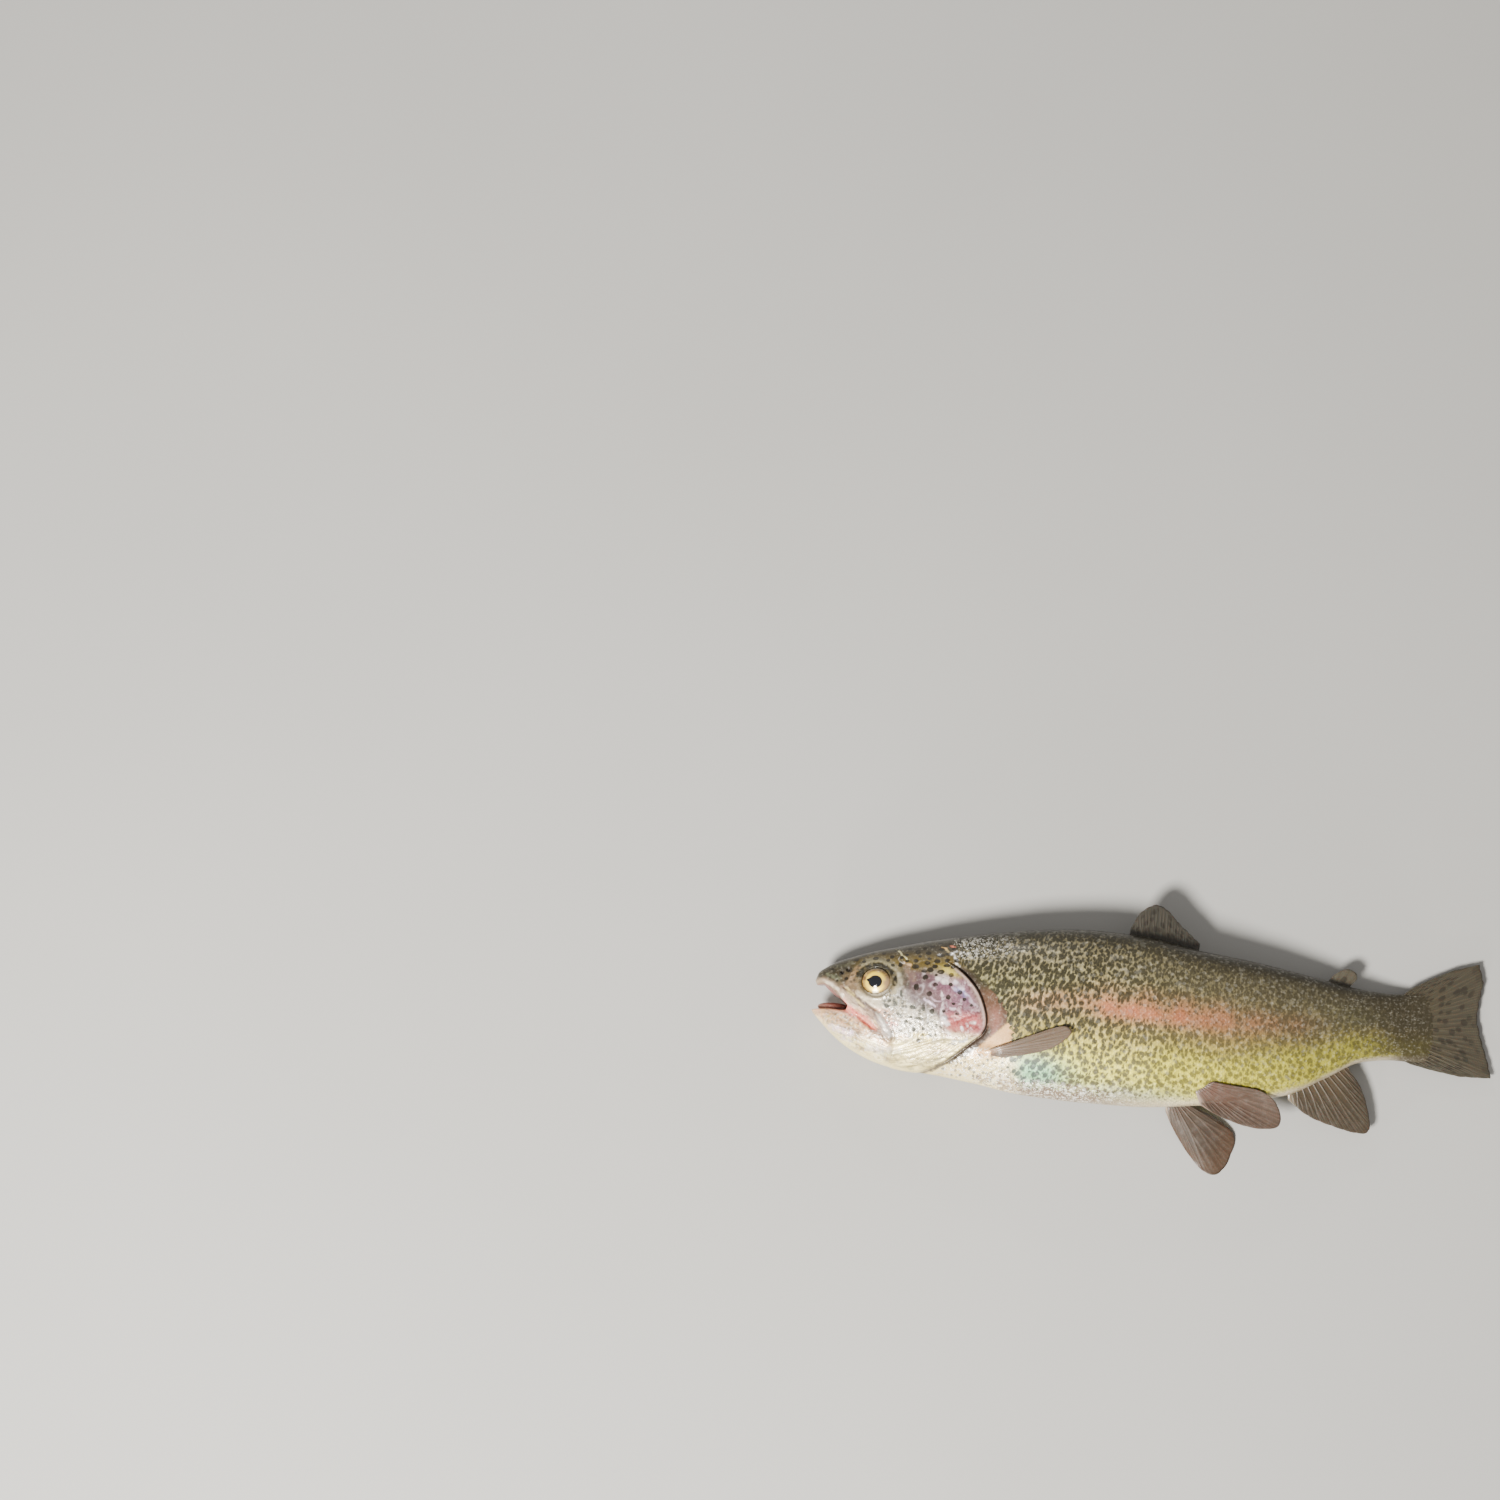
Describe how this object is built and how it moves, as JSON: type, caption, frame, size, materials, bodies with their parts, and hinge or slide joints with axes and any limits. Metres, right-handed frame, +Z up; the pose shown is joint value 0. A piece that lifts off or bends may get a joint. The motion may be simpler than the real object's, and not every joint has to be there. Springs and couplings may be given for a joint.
{
  "type": "rainbow trout",
  "caption": "Life-size still model of a rainbow trout lying on its right side, mouth slightly open, with a spotted olive back, pink side stripe, silvery belly and small folded fins.",
  "frame": {"origin": "on the floor, under the middle of the whole fish", "axes": "+X from the head to the tail, +Y towards the back, +Z up out of the left flank, which faces up"},
  "size_m": [0.2638, 0.0998, 0.0354],
  "materials": {
    "scaled_skin": "wet, scaled, olive with dark spots and a pink stripe",
    "head_skin": "wet, smooth, silvery lilac cheek and spotted olive crown",
    "fin_membrane": "wet, thin, rayed",
    "eye": "glossy, golden iris with a dark pupil"
  },
  "bodies": {
    "root": {"head": "head_skin", "lower_jaw": "head_skin", "maxilla_left": "head_skin", "maxilla_right": "head_skin", "gill_cover_left": "head_skin", "gill_cover_right": "head_skin", "eye_left": "eye", "eye_right": "eye", "trunk": "scaled_skin", "tail_stalk": "scaled_skin", "fin_dorsal": "fin_membrane", "fin_adipose": "fin_membrane", "fin_anal": "fin_membrane", "fin_caudal": "fin_membrane", "fin_pectoral_left": "fin_membrane", "fin_pectoral_right": "fin_membrane", "fin_pelvic_left": "fin_membrane", "fin_pelvic_right": "fin_membrane"}
  },
  "joints": []
}
